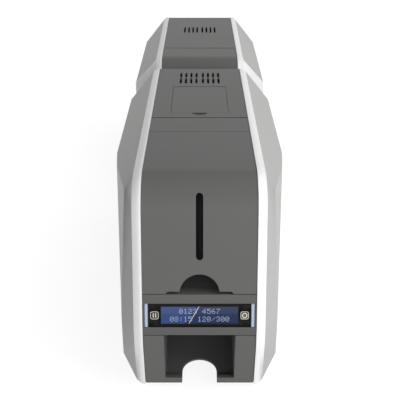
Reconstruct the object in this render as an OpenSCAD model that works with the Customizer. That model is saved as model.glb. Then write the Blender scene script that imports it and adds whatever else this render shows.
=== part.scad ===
// Desktop ID card printer with an in-line laminating module.
// Millimetres. +X right, +Y towards the back, +Z up. The origin is under the middle of the
// whole machine, on the surface that its feet stand on. Lengths called "v" run backwards
// from a module's nose, the foremost line of its front.

/* [Modules] */
// Length of the printer module, nose to rear wall
printer_len = 383; // [378:1:392]
// Length of the laminating module, nose to rear wall
laminator_len = 306; // [300:1:330]
// Gap between the two docked modules
dock_gap = 1; // [0.6:0.2:2]
// Height of the modules over their underside
body_h = 196; // [194:1:204]
// Height of the rubber feet
foot_h = 4; // [3:0.5:6]

/* [Outline] */
// Width of the dark centre covers and the space between the white bands
centre_w = 100; // [99:0.5:102]
// Width of each white band
band_w = 8; // [6:0.5:10]
// Depth of the white band ring, measured in from the outline
band_depth = 12; // [9:0.5:14]
// How far the white bands stand proud of the dark covers
band_proud = 0.8; // [0.4:0.1:1.4]
// How far the band's outer edge falls behind its inner edge
band_fall = 3; // [2:0.5:4]
// Overall width over the two side panels
body_w = 175; // [170:1:184]
// Height of the nose's foremost line, where the leaning face begins, over the underside
nose_top = 68; // [66:1:72]
// Height where the chin begins to tuck in, over the underside
nose_bottom = 50; // [44:1:56]
// How far the chin tucks in at the underside
chin_tuck = 11; // [8:1:14]
// Lean of the front face from upright, in degrees
face_lean = 13.5; // [12:0.5:14.5]
// Radius of the bend between front face and top
bend_r = 37; // [33:1:42]
// Height of the side panel's upper crease under the top
shoulder_drop = 40; // [34:1:44]
// Height of the side panel's lower crease over the underside
skirt_rise = 78; // [70:1:86]
// Wall of the moulded covers
wall = 2.5; // [2:0.1:3]
// Seam between neighbouring covers
seam = 0.6; // [0.4:0.1:0.8]
// Clearance between parts that slide into or past each other
fit = 0.3; // [0.2:0.05:0.4]

/* [Front] */
// Distance from the nose to the hinged cover's rear edge
cover_len = 195; // [193:1:198]
// Height of the hinged cover's lower edge over the underside
cover_edge = 99.7; // [98:0.1:102]
// Height of the seam between display bar and output tray, over the underside
tray_top = 62; // [60:0.5:63]
// Width of the output pocket at its mouth
pocket_w = 63; // [60:1:66]
// Depth of the output pocket
pocket_len = 88; // [87:0.5:89]
// Radius of the grip notch in the tray floor
tray_notch_r = 16; // [13:1:19]
// Radius of the half-round finger notch in the cover
cover_notch_r = 17.5; // [14:0.5:20]
// Width of the card level window
window_w = 6.2; // [5:0.2:8]
// Length of the card level window along the face
window_len = 58; // [50:1:62]

/* [Display] */
// Width of the black display panel
panel_w = 90; // [88:0.5:91]
// Height of the black display panel
panel_h = 21.4; // [20:0.2:23]
// Width of each light bar beside the panel
light_w = 3.2; // [2.4:0.2:3.4]
// Width of the liquid crystal screen
lcd_w = 67.5; // [62:0.5:69]
// Height of the liquid crystal screen
lcd_h = 15.8; // [14:0.2:17]
// Side of each square key
key_w = 8; // [7:0.2:8.6]
// Travel of a key
key_travel = 0.6; // [0.4:0.1:0.8]

/* [Card path] */
// Width of a card
card_w = 54; // [53:0.2:54.6]
// Length of a card
card_len = 85.6; // [84:0.2:86]
// Height of the card path over the underside
path_h = 108; // [107:0.5:110]
// Radius of the transport rollers
roller_r = 6; // [5:0.5:6.5]
// Radius of the roller shafts
shaft_r = 3; // [2.5:0.25:3.5]
// Radial running clearance of a shaft in its bore
running = 0.05; // [0.03:0.01:0.09]
// Thickness of the steel side frames
frame_t = 1.5; // [1.2:0.1:2]
// Distance between the inner faces of the side frames
frame_gap = 88; // [87:0.5:88.5]
// Radius of the pulleys on the roller shafts
pulley_r = 8; // [7:0.5:9]

/* [Ribbon] */
// Radius of the full ribbon roll
supply_r = 14; // [11:0.5:15]
// Radius of the spent ribbon roll
takeup_r = 10; // [9:0.5:11]
// Width of the ribbon
ribbon_w = 60; // [56:1:62]
// Distance between the two ribbon spools
spool_pitch = 46; // [44:0.5:47]

/* [Vents and hatch] */
// Width of one vent slot
vent_w = 2.6; // [2:0.2:3.2]
// Distance between vent slots
vent_pitch = 6.2; // [5.5:0.1:6.6]
// Distance between the two middle vent slots
vent_middle = 7.8; // [7:0.1:10]
// Width of the service hatch
hatch_w = 61; // [56:1:66]
// Length of the service hatch
hatch_len = 95; // [88:1:100]

/* [Hidden] */

total_len = printer_len + dock_gap + laminator_len;
under = foot_h;                          // underside of the shells
top = foot_h + body_h;                   // top of the covers
half_c = centre_w / 2;                   // inner face of the bands
half_b = half_c + band_w;                // outer face of the bands
half_w = body_w / 2;                     // outermost face of the side panels
cover_x = half_c - fit;                  // side edges of the centre covers
frame_in = frame_gap / 2;                // inner face of the side frames
frame_out = frame_in + frame_t;
lean_run = tan(face_lean);
far = 400;                               // longer than any cut needs to be

// ---------- flat geometry, in the plane of v (backwards) and z (up) ----------

function unit(a) = a / norm(a);
function inward(a, b) = let (u = unit(b - a)) [-u[1], u[0]];
function at(p, i) = p[(i + len(p)) % len(p)];

// A corner of a convex outline, moved in by d
function inset_corner(p, i, d) =
    let (m = inward(at(p, i - 1), p[i]), n = inward(p[i], at(p, i + 1)))
    p[i] + d * (m + n) / (1 + m * n);

// The points of a rounded corner
function arc_at(p, i, r) = r < 0.05 ? [p[i]] :
    let (m = inward(at(p, i - 1), p[i]), n = inward(p[i], at(p, i + 1)),
         c = p[i] + r * (m + n) / (1 + m * n),
         from = atan2(-m[1], -m[0]),
         turn = atan2(m[0] * n[1] - m[1] * n[0], m * n),
         steps = ceil(turn / (r > 15 ? 7 : 24)))
    [for (k = [0:steps]) c + r * [cos(from + turn * k / steps),
                                  sin(from + turn * k / steps)]];

// A convex outline with rounded corners, moved in by d
function rounded(p, radii, d) =
    let (q = [for (i = [0:len(p) - 1]) inset_corner(p, i, d)])
    [for (i = [0:len(q) - 1]) for (s = arc_at(q, i, max(radii[i] - d, 0))) s];

// The front face's distance behind the nose at height z, and the side outline of a module
function face_v(z) = max(0, (z - under - nose_top) * lean_run);
function corners(length) = [[chin_tuck, under], [length, under], [length, top],
    [face_v(top), top], [0, under + nose_top], [0, under + nose_bottom]];
radii = [3, 3, 4, bend_r, 20, 20];
function outline(length, d) = rounded(corners(length), radii, d);

module flat(length, d = 0) { polygon(outline(length, d)); }

// Extrudes a flat shape across the machine, from x0 to x1
module across(x0, x1) {
    translate([x0, 0, 0]) rotate([90, 0, 90]) linear_extrude(x1 - x0) children();
}

module slab(v0, v1, z0, z1) { translate([v0, z0]) square([v1 - v0, z1 - z0]); }

module block(x0, x1, v0, v1, z0, z1) {
    translate([x0, v0, z0]) cube([x1 - x0, v1 - v0, z1 - z0]);
}

// A round bar along X, and a vertical one
module bar(v, z, r, x0, x1, fn = 48) {
    translate([x0, v, z]) rotate([0, 90, 0]) cylinder(r = r, h = x1 - x0, $fn = fn);
}
module post(x, v, r, z0, z1, fn = 32) {
    translate([x, v, z0]) cylinder(r = r, h = z1 - z0, $fn = fn);
}

// A flat round-ended slot
module stadium(x, v, w, l) {
    translate([x, v]) {
        square([w, l - w], center = true);
        for (s = [-1, 1]) translate([0, s * (l - w) / 2]) circle(d = w, $fn = 24);
    }
}

module both() {
    children();
    mirror([1, 0, 0]) children();
}

module printer() { translate([0, -total_len / 2, 0]) children(); }
module laminator() { translate([0, printer_len + dock_gap - total_len / 2, 0]) children(); }

// Stands its children on the leaning face at height z: y goes into the body, z up the face
module on_face(z) {
    translate([0, face_v(z), z]) rotate([-face_lean, 0, 0]) children();
}

// ---------- side panels and bands ----------

facet_slope = (shoulder_drop - band_fall) / (half_w - half_b);
shoulder_z = top - shoulder_drop;        // upper crease of the side
skirt_z = under + skirt_rise;            // lower crease of the side
side_corner = 196;                       // where the printer's side reaches its full width
strip_out = 11.8;                        // width of the side panel's strip beside the face
strip_back = 17;                         // how far that strip falls back at the nose
tip_out = 7;                             // width of the strip at its upper tip
tip_back = 42;                           // how far the tip lies behind the nose
fold = 0.74;                             // where the front facet's fold meets the roof facet

// Height of the sloping roof facet at half width x
function roof_z(x) = top - band_fall - (x - half_b) * facet_slope;

// The corners of the printer's side panel, moved in by d
function side_points(d) =
    let (xs = half_b + strip_out,
         xf = xs + fold * (half_w - xs),
         vf = strip_back + fold * (side_corner - strip_back))
    [[half_w - d, side_corner + d, shoulder_z - d],
     [half_w - d, printer_len - band_fall - d, shoulder_z - d],
     [half_w - d, side_corner + d, skirt_z + d],
     [half_w - d, printer_len - band_fall - d, skirt_z + d],
     [xf - d, vf + d, roof_z(xf) - d],
     [half_b + tip_out - d, tip_back + d, roof_z(half_b + tip_out) - d],
     [xs - d, strip_back + d, under + nose_top], [xs - d, strip_back + d, under + nose_bottom],
     [xs - d, strip_back + 1 + d, under + 30 + d]];

// Puts a very small cube at each point, for the corners of a convex hull
dot = 0.02;
module dots(points) {
    for (p = points) translate([p[0] - dot, p[1] - dot / 2, p[2] - dot / 2]) cube(dot);
}

// The convex form of the printer's side panel, moved in by d and starting at x0
module printer_side_form(d, x0) {
    hull() {
        across(x0, half_b + dot) flat(printer_len, band_fall + d);
        dots(side_points(d));
    }
}

// The white ring between a side panel and the centre covers
module band(length) {
    difference() {
        hull() {
            across(half_c, half_c + band_w * 0.4) flat(length, -band_proud);
            across(half_b - dot, half_b) flat(length, band_fall);
        }
        across(half_c - 1, half_b + 1) flat(length, band_depth);
        // the rear and the underside stay flush with the covers
        across(half_c - 1, half_b + 1) slab(length, length + 9, 0, far);
        across(half_c - 1, half_b + 1) slab(-9, far, under - 9, under);
    }
}

// Stiffening ribs inside a side panel
module side_ribs(places) {
    for (v = places) difference() {
        block(half_b + 6, half_w, v, v + 2, under, top);
        across(half_b, half_w - wall - 8) slab(v - 1, v + 3, under + 30, top - 30);
    }
}

module printer_side() {
    printer() color("silver") {
        difference() {
            printer_side_form(0, half_b);
            printer_side_form(wall, half_b - 1);
        }
        intersection() {
            printer_side_form(wall, half_b - 1);
            side_ribs([side_corner + 30, printer_len - 40]);
        }
    }
}

// The pins of a hinged cover turn in its two bands
module printer_band() {
    printer() color("white") difference() {
        band(printer_len);
        bar(hinge_v, hinge_z, hinge_pin_r + running, 0, half_c + hinge_pin_l + fit);
    }
}

// ---------- laminator sides ----------

bezel_v = 49;                            // front edge of the laminator's side, at the band
bezel_back = 19.6;                       // how far its front facet falls back to full width
bezel_t = 2.4;                           // thickness of the white front facet
side_gap = 0.1;                          // gap between that facet and the side panel

// The corners of the laminator's side panel behind its front facet, moved in by d
function lam_side_points(d, v0) =
    [for (v = [bezel_back + v0, laminator_len - band_fall - d]) for (z = [shoulder_z - d, skirt_z + d])
        [half_w - d, v, z]];

module lam_side_form(d, x0, v0) {
    hull() {
        across(x0, half_b + dot) intersection() {
            flat(laminator_len, band_fall + d);
            slab(v0, far, 0, far);
        }
        dots(lam_side_points(d, v0));
    }
}

module laminator_side() {
    v0 = bezel_v + bezel_t + side_gap;
    laminator() color("silver") {
        difference() {
            lam_side_form(0, half_b, v0);
            lam_side_form(wall, half_b - 1, v0 + wall);
        }
        intersection() {
            lam_side_form(wall, half_b - 1, v0 + wall);
            side_ribs([110, laminator_len - 40]);
        }
    }
}

// The laminator's band carries the white facet in front of the silver side
module laminator_band() {
    z0 = under + band_fall;
    z1 = top - band_fall;
    laminator() color("white") difference() {
        union() {
            band(laminator_len);
            across(half_b - 3, half_b) intersection() {
                flat(laminator_len, band_fall);
                slab(-1, bezel_v + bezel_t, 0, far);
            }
            translate([0, 0, 0]) hull() {
                for (v = [bezel_v, bezel_v + bezel_t - dot]) {
                    block(half_b - 1, half_b, v - 0.7, v - 0.7 + dot, z0, z1);
                    block(half_w - dot, half_w, v + bezel_back, v + bezel_back + dot,
                        skirt_z, shoulder_z);
                }
            }
        }
        bar(lam_hinge_v, hinge_z, hinge_pin_r + running, 0, half_c + hinge_pin_l + fit);
    }
}

// ---------- printer covers ----------

cover_z = under + cover_edge;            // lower edge of the hinged cover
hinge_v = cover_len - seam / 2 - wall;   // the hinge axis of the top cover
hinge_z = top - wall;
hinge_pin_r = 1.5;
hinge_pin_l = 4;                         // how far a hinge pin reaches into its band
flange = 8;                              // depth of the covers' side flanges
groove_v = 152;                          // shallow line across the top cover
window_z = (cover_z + cover_notch_r + top) / 2 + 1.1;   // middle of the level window
notch_slot_w = 60;                       // manual feed slot under the notch
notch_slot_h = 2;

// A cover strip of the outline: skin plus side flanges, inside a window of v and z
module cover_skin(length, v0, v1, z0, z1) {
    across(-cover_x, cover_x) intersection() {
        difference() {
            flat(length);
            flat(length, wall);
        }
        slab(v0, v1, z0, z1);
    }
    both() across(cover_x - 2, cover_x) intersection() {
        difference() {
            flat(length);
            flat(length, flange);
        }
        slab(v0, v1, z0, z1);
    }
}

module window_cut(grow, y0, y1) {
    on_face(window_z) rotate([90, 0, 0]) translate([0, 0, -y1])
        linear_extrude(y1 - y0) stadium(0, 0, window_w + grow, window_len + grow);
}

// The rounded rear edge of a hinged cover, with its two pins
module cover_hinge(v) {
    bar(v, hinge_z, wall, -cover_x, cover_x, 32);
    bar(v, hinge_z, hinge_pin_r, -half_c - hinge_pin_l, half_c + hinge_pin_l, 32);
}

module top_cover() {
    printer() color("dimgray") {
        difference() {
            union() {
                cover_skin(printer_len, -1, hinge_v, cover_z + seam / 2, top + 1);
                cover_hinge(hinge_v);
                // lip behind the lower edge and ribs under the top
                for (v = [80, 110, 140]) both()
                    block(12, cover_x - 2, v, v + 1.6, top - wall - 2.5, top - wall / 2);
                // seat of the level window
                intersection() {
                    across(-7, 7) difference() {
                        flat(printer_len, 1);
                        flat(printer_len, 4.4);
                    }
                    window_cut(7, -5, 12);
                }
            }
            window_cut(0, -12, 14);
            translate([0, 0, cover_z]) rotate([90, 0, 0]) translate([0, 0, -26])
                cylinder(r = cover_notch_r, h = 40, $fn = 72);
            // feed slot with slanting ends
            translate([0, 26, 0]) rotate([90, 0, 0]) linear_extrude(40) polygon([
                [-notch_slot_w / 2 - 1, cover_z - 1], [notch_slot_w / 2 + 1, cover_z - 1],
                [notch_slot_w / 2 - 2.4, cover_z + seam / 2 + notch_slot_h],
                [-notch_slot_w / 2 + 2.4, cover_z + seam / 2 + notch_slot_h]]);
            across(-half_c, half_c) slab(groove_v, groove_v + 0.7, top - 0.35, top + 1);
        }
    }
}

// Dark window that shows how many cards are left
module card_window() {
    printer() color([0.08, 0.08, 0.08]) intersection() {
        across(-half_c, half_c) difference() {
            flat(printer_len, 1.2);
            flat(printer_len, 3.2);
        }
        window_cut(-fit, -12, 14);
    }
}

vents_v = [printer_len - 66.5, printer_len - 21];
vents_bar = 3;                           // cross bar between the two rows of slots
lam_vents_v = [196, 233];
fan_v = (vents_v[0] + vents_v[1]) / 2;
module vents(v0, v1) {
    for (side = [-1, 1]) for (k = [0:3])
        stadium(side * (vent_middle / 2 + vent_pitch * k), (v0 + v1) / 2, vent_w, v1 - v0);
}

// front edge of the service hatch, between the hinged cover and the vents
hatch_v = (cover_len + vents_v[0] - hatch_len) / 2 + 1.75;
hatch_t = 2;                             // thickness of the hatch
hatch_pin_r = 1.1;
hatch_ledge = 3;                         // width of the ledge that the hatch lies on
scoop_w = 16;                            // finger scoop in front of the hatch
scoop_l = 7;
scoop_t = 2.2;                           // its depth at the hatch
scoop_r = 13;
hatch_end = hatch_v + hatch_len;
hatch_axis_v = hatch_end - fit - hatch_t;
hatch_axis_z = top - hatch_t;

module printer_rear_cover() {
    w = hatch_w / 2;
    printer() color("dimgray") difference() {
        union() {
            cover_skin(printer_len, cover_len + seam / 2, printer_len + 1, under + 12, top + 1);
            // ledge under the hatch, and the floor of the finger scoop
            block(-w - 3, w + 3, hatch_v - scoop_l - 1, hatch_end + 3, top - 6, top - 1);
            // posts that hold the fan, between the slots
            for (x = [-1, 1]) for (v = [-16, 16])
                post(x * (vent_middle / 2 + 1.5 * vent_pitch), fan_v + v, 1.7, top - 6,
                    top - 1, 24);
        }
        block(-w, w, hatch_v, hatch_end, top - hatch_t - fit, top + 1);
        // the opening inside the ledge
        block(-w + hatch_ledge, w - hatch_ledge, hatch_v + hatch_ledge, hatch_end,
            top - 7, top);
        // the hatch's rounded rear edge turns in this groove
        block(-w, w, hatch_axis_v - hatch_t - fit, hatch_end, top - 2 * hatch_t - fit, top);
        bar(hatch_axis_v, hatch_axis_z, hatch_pin_r + running, -w - 2, w + 2, 32);
        translate([0, 0, top - wall - 1]) linear_extrude(wall + 2) {
            vents(vents_v[0], (vents_v[0] + vents_v[1] - vents_bar) / 2 + 1);
            vents((vents_v[0] + vents_v[1] + vents_bar) / 2 + 1, vents_v[1]);
        }
        // the finger scoop, a shallow dish that ends at the hatch's front edge
        intersection() {
            translate([0, hatch_v, top - wall]) linear_extrude(wall + 1) rotate([0, 0, 90])
                stadium(0, 0, 2 * scoop_l, scoop_w);
            bar(hatch_v, top + scoop_r - scoop_t, scoop_r, -scoop_w, scoop_w);
        }
        // slot through which the card goes on to the laminator
        block(-card_w / 2 - 3, card_w / 2 + 3, printer_len - 9, printer_len + 1,
            path_z - 4, path_z + 6);
    }
}

module service_hatch() {
    w = hatch_w / 2;
    printer() color([0.4, 0.4, 0.4]) {
        block(-w + fit, w - fit, hatch_v + fit, hatch_axis_v, top - hatch_t, top);
        bar(hatch_axis_v, hatch_axis_z, hatch_t, -w + fit, w - fit, 32);
        bar(hatch_axis_v, hatch_axis_z, hatch_pin_r, -w - 1.7, w + 1.7, 32);
        // stiffening ribs underneath
        for (x = [-w / 3, w / 3]) block(x - 1, x + 1, hatch_v + hatch_ledge + 2,
            hatch_axis_v - hatch_ledge - 2, top - hatch_t - 2, top - 1);
    }
}

// ---------- display bar ----------

bar_depth = 19;                          // depth of the display bar behind the nose
display_z = under + 80.7;                 // middle of the display panel
recess = 5;                              // depth of the seat in the bar
panel_front = 1;                         // how deep the panel's face lies
panel_back = 3.2;
lcd_front = 1.2;
light_front = 0.3;
key_front = 0.6;
key_x = (panel_w / 2 + lcd_w / 2) / 2;

module rounded_rect(w, h, r) {
    for (x = [-1, 1]) for (y = [-1, 1]) translate([x * (w / 2 - r), y * (h / 2 - r)])
        circle(r = r, $fn = 24);
    square([w - 2 * r, h], center = true);
    square([w, h - 2 * r], center = true);
}

// Extrudes a shape drawn on the leaning face, from depth y0 to y1
module into_face(z, y0, y1) {
    on_face(z) rotate([90, 0, 0]) translate([0, 0, -y1]) linear_extrude(y1 - y0) children();
}

module display_bezel() {
    z0 = under + tray_top + seam / 2;
    z1 = cover_z - seam / 2;
    w = panel_w / 2 + light_w + fit;
    printer() color("dimgray") difference() {
        across(-cover_x, cover_x) intersection() {
            flat(printer_len);
            slab(-1, bar_depth, z0, z1);
        }
        into_face(display_z, -4, recess) square([2 * w, panel_h + 0.4], center = true);
        // hollow behind the seat of the panel
        across(-cover_x + wall, cover_x - wall) slab(bar_depth - 5, far, z0 - 1, z1 - wall);
    }
}

module display_panel() {
    printer() color("black") difference() {
        into_face(display_z, panel_front, panel_back) square([panel_w - 0.2, panel_h], center = true);
        into_face(display_z, 0, recess) {
            square([lcd_w, lcd_h], center = true);
            for (s = [-1, 1]) translate([s * key_x, 0])
                rounded_rect(key_w + 0.4, key_w + 0.4, 1.8);
        }
    }
}

module lcd_screen() {
    printer() color([0.16, 0.24, 0.5]) {
        into_face(display_z, lcd_front, recess) square([lcd_w - 0.1, lcd_h - 0.1], center = true);
    }
}

module light_bars() {
    printer() color([0.7, 0.8, 0.92]) for (s = [-1, 1])
        into_face(display_z, light_front, recess) translate([s * (panel_w / 2 + light_w / 2), 0])
            square([light_w - 0.1, panel_h], center = true);
}

// One square key; its symbol is two bars, or a ring round a dot
module key(side) {
    into_face(display_z, key_front, recess - key_travel - fit) translate([side * key_x, 0])
        rounded_rect(key_w, key_w, 1.7);
}
module pause_key() { printer() color([0.2, 0.2, 0.2]) key(-1); }
module cancel_key() { printer() color([0.2, 0.2, 0.2]) key(1); }

// ---------- output tray ----------

tray_lip = 12;                           // height of the front lip over the desk
floor_t = 3.5;
floor_rise = 8;                          // how much the floor rises towards the back
floor_skin = 1.9;                        // thickness of the floor
mouth = 3.5;                             // depth of the lip
tray_back = pocket_len + 2;
tray_notch_v = chin_tuck + 13;           // centre of the grip notch's arch
module output_tray() {
    z1 = under + tray_top - seam / 2;
    v0 = chin_tuck + mouth;
    x1 = pocket_w / 2;
    printer() color("dimgray") difference() {
        across(-cover_x, cover_x) intersection() {
            flat(printer_len);
            slab(-1, tray_back, under, z1);
        }
        // pocket with a floor that falls towards the front, open under the display bar
        across(-x1, x1) polygon([[v0, under + floor_t], [pocket_len, under + floor_t + floor_rise],
            [pocket_len, z1 - wall], [bar_depth + 3, z1 - wall], [bar_depth + 3, z1 + 1],
            [v0, z1 + 1]]);
        across(-pocket_w / 2, pocket_w / 2) slab(-9, v0 + 2, tray_lip, z1 + 1);
        // cards come in through the back
        block(-card_w / 2 - 1, card_w / 2 + 1, pocket_len - 1, tray_back + 1, z1 - 16, z1 - wall);
        // the floor is a thin skin, hollow underneath
        across(-x1 + wall, x1 - wall) polygon([[v0 + 2, under - 1], [pocket_len - wall, under - 1],
            [pocket_len - wall, under + floor_t + floor_rise - floor_skin],
            [v0 + 2, under + floor_t - floor_skin]]);
        // grip notch through lip and floor
        post(0, tray_notch_v, tray_notch_r, under - 1, z1 - 20, 72);
        block(-tray_notch_r, tray_notch_r, -9, tray_notch_v, under - 1, z1 - 20);
        // hollow columns beside the pocket
        both() block(pocket_w / 2 + wall, cover_x - wall, v0, tray_back + 1,
            under + 3, z1 - wall);
    }
}

// ---------- chassis ----------

base_v0 = tray_back + fit;               // front of the printer's base tray
base_v1 = printer_len - 1;
base_t = 3;                              // thickness of its floor
base_z1 = under + 12 - fit;              // height of its rim
slots_back = 59.7;                        // cooling slots behind the front edge of a floor
lam_slots_back = 86.7;
module base_tray(v0, v1, slots_v) {
    difference() {
        block(-cover_x, cover_x, v0, v1, under, base_z1);
        block(-cover_x + wall, cover_x - wall, v0 + wall, v1 - 2 * wall, under + base_t,
            base_z1 + 1);
        for (k = [0:5]) block(-26, 26, slots_v + 22 * k, slots_v + 6 + 22 * k, under - 1,
            under + base_t + 1);
    }
}
module printer_base() {
    printer() color([0.25, 0.25, 0.26]) base_tray(base_v0, base_v1, base_v0 + slots_back);
}

foot_r = 7;
foot_x = half_c - foot_r - 2;
module feet_at(points) {
    for (v = points) for (s = [-1, 1]) {
        post(s * foot_x, v, foot_r - 1, 0, foot_h, 48);
        post(s * foot_x, v, foot_r, 1, foot_h, 48);
    }
}
module rubber_feet() {
    color([0.1, 0.1, 0.1]) {
        printer() feet_at([28, printer_len - 25]);
        laminator() feet_at([26, laminator_len - 26]);
    }
}

path_z = under + path_h;                 // underside of a card on its way through
shaft_z = path_z - roller_r;             // axis of the driven rollers
platen_r = roller_r + 2;
hopper_v = 30;                           // front of the hopper's well
well_w = card_w + 1.4;
well_len = card_len + 1.9;
hopper_t = 2;
hopper_drop = 32;                        // from the top down to the hopper's rim
hopper_end = hopper_v + well_len + hopper_t;
pick_back = 36;                          // pick roller behind the hopper's front
pick_v = hopper_v + pick_back;
pick_z = path_z - roller_r;
cleaning_gap = 4.5;
cleaning_v = hopper_end + cleaning_gap + roller_r;
spool_gap = 2.5;                         // between the hopper and the full ribbon roll
supply_v = hopper_end + spool_gap + supply_r;
takeup_v = supply_v + spool_pitch;
spool_drop = 44;                         // from the top down to the spools' axes
spool_z = top - spool_drop;
platen_gap = 8;
platen_v = supply_v + supply_r + platen_gap;
platen_z = path_z - platen_r;
first_gap = 64;                          // from the platen to the first transport roller
second_gap = 68;                         // and on to the second one
rollers_v = [platen_v + first_gap, platen_v + first_gap + second_gap];
motor_v = rollers_v[0] + second_gap / 2;
motor_drop = 42;
motor_z = shaft_z - motor_drop;
head_arm = 46;                           // from the head to the pins it swings on
head_pivot_v = platen_v + head_arm;
head_rise = 12;
head_pivot_z = path_z + head_rise;
head_pin_r = 2;
platen_pulley_r = pulley_r * platen_r / roller_r;

module shaft_bore(v, z, r) { bar(v, z, r + running, -far, far); }

tab_z = spool_z - 24;                    // top of the tabs that carry the cassette
module side_frame() {
    v1 = base_v1 - 2 * wall - fit;
    difference() {
        across(frame_in, frame_out) difference() {
            intersection() {
                flat(printer_len, 6);
                union() {
                    slab(base_v0 + wall + fit, v1, under + base_t, top);
                    slab(bar_depth + 1, base_v0 + 20, under + tray_top, top);
                }
            }
            // openings that lighten the plate
            slab(v1 - 70, v1 - 15, under + 20, under + 70);
            slab(base_v0 + 20, base_v0 + 100, under + 20, under + 70);
            slab(head_pivot_v + 12, v1 - 15, path_z + 20, top - 26);
            slab(bar_depth + 14, base_v0 + 8, under + tray_top + 8, pick_z - 12);
        }
        shaft_bore(pick_v, pick_z, shaft_r);
        shaft_bore(cleaning_v, shaft_z, shaft_r);
        shaft_bore(platen_v, platen_z, shaft_r);
        for (v = rollers_v) shaft_bore(v, shaft_z, shaft_r);
        shaft_bore(head_pivot_v, head_pivot_z, head_pin_r);
    }
    for (v = [supply_v, takeup_v])
        block(spool_x - 0.5, frame_in, v - 4, v + 8, tab_z - 1.5, tab_z);
}
module side_frame_left() {
    printer() color([0.72, 0.73, 0.75]) difference() {
        mirror([1, 0, 0]) side_frame();
        shaft_bore(motor_v, motor_z, motor_boss_r);
    }
}
module side_frame_right() {
    printer() color([0.72, 0.73, 0.75]) side_frame();
}

// ---------- card hopper ----------

hopper_z0 = path_z - hopper_t;           // underside of the hopper's floor
hopper_z1 = top - hopper_drop;
module card_hopper() {
    x1 = well_w / 2 + hopper_t;
    v1 = hopper_v + well_len;
    z1 = cover_z - seam;
    printer() color([0.3, 0.3, 0.31]) difference() {
        union() {
            block(-x1, x1, hopper_v - hopper_t, v1 + hopper_t, hopper_z0, hopper_z1);
            // wings that reach the side frames
            for (v = [hopper_v + 8, v1 - 16]) both()
                block(x1 - 1, frame_in, v, v + 8, hopper_z0 + 6, hopper_z0 + 12);
            // sloping chute from the display bar up to the hopper's floor
            across(-notch_slot_w / 2 + 1, notch_slot_w / 2 - 1)
                polygon([[bar_depth + fit, z1 - 2.5], [hopper_v - 1, hopper_z0],
                         [hopper_v - 1, path_z], [bar_depth + fit, z1]]);
        }
        block(-well_w / 2, well_w / 2, hopper_v, v1, hopper_z0 + hopper_t, hopper_z1 + 1);
        // finger notch above the floor, window gap, card exit and roller opening
        intersection() {
            translate([0, hopper_v + 8, cover_z + 4]) rotate([90, 0, 0])
                cylinder(r = cover_notch_r - 2, h = 20, $fn = 64);
            block(-cover_notch_r, cover_notch_r, hopper_v - 9, hopper_v + 1, path_z, hopper_z1);
        }
        block(-4, 4, hopper_v - 9, hopper_v + 1, hopper_z0 + 8, hopper_z1 + 1);
        block(-well_w / 2, well_w / 2, v1 - 1, v1 + 9, path_z, path_z + 1);
        block(-20, 20, pick_v - 9, pick_v + 9, hopper_z0 - 1, hopper_z0 + 9);
    }
}

weight_t = 4;                            // thickness of the weight's plate
grip_w = 28;                             // its upright grip
grip_h = 20;
module card_weight() {
    v0 = hopper_v + 1;
    v1 = hopper_v + well_len - 1;
    v2 = v0 + pick_back - 6;
    z0 = hopper_z0 + hopper_t + fit;
    printer() color([0.55, 0.56, 0.58]) difference() {
        union() {
            block(-well_w / 2 + 0.8, well_w / 2 - 0.8, v0, v1, z0, z0 + weight_t);
            block(-grip_w / 2, grip_w / 2, v2, v2 + weight_t, z0, z0 + grip_h);
            block(-20, 20, v0 + 12, v1 - 20, z0 + weight_t - 1, z0 + weight_t + 2);
        }
        translate([0, v2 - 5, z0 + grip_h * 0.6]) rotate([-90, 0, 0])
            cylinder(r = grip_h * 0.3, h = 20, $fn = 40);
        block(-20.5, 20.5, pick_v - 9.5, pick_v + 9.5, z0 - 1, z0 + 1);
        translate([0, v0, z0 - 1]) cylinder(r = cover_notch_r - 4, h = 9, $fn = 48);
    }
}

// ---------- rollers ----------

// A shaft with a rubber sleeve; the pulley sits outside the left frame
pulley_x = -frame_out - 1.2;
pulley_w = 7;
module sleeve(v, z, r, x0, x1) {
    difference() {
        bar(v, z, r, x0, x1, 64);
        bar(v, z, shaft_r, x0 - 1, x1 + 1);
    }
}
// A flanged belt pulley at the left end of a shaft
module pulley(v, z, r) {
    bar(v, z, r, pulley_x - pulley_w + 1, pulley_x - 1, 48);
    for (x = [pulley_x - pulley_w, pulley_x - 1]) bar(v, z, r + 1.6, x, x + 1, 48);
}
module shaft(v, z, r) {
    bar(v, z, shaft_r, pulley_x - 0.5, frame_out + 1);
    pulley(v, z, r);
}

module pick_roller() {
    printer() color("darkslategray") {
        for (s = [-1, 1]) sleeve(pick_v, pick_z, roller_r, min(s * 6, s * 18),
            max(s * 6, s * 18));
        bar(pick_v, pick_z, shaft_r, -frame_out - 1, frame_out + 1);
    }
}
module cleaning_roller() {
    printer() color([0.25, 0.45, 0.7]) {
        sleeve(cleaning_v, shaft_z, roller_r, -card_w / 2 - 2, card_w / 2 + 2);
        bar(cleaning_v, shaft_z, shaft_r, -frame_out - 1, frame_out + 1);
    }
}
module platen_roller() {
    printer() color("darkslategray") {
        sleeve(platen_v, platen_z, platen_r, -card_w / 2 - 3, card_w / 2 + 3);
        shaft(platen_v, platen_z, platen_pulley_r);
    }
}
module transport_roller(k) {
    printer() color("darkslategray") {
        sleeve(rollers_v[k], shaft_z, roller_r, -card_w / 2, card_w / 2);
        shaft(rollers_v[k], shaft_z, pulley_r);
    }
}
module transport_roller_1() { transport_roller(0); }
module transport_roller_2() { transport_roller(1); }

// ---------- drive ----------

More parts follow.
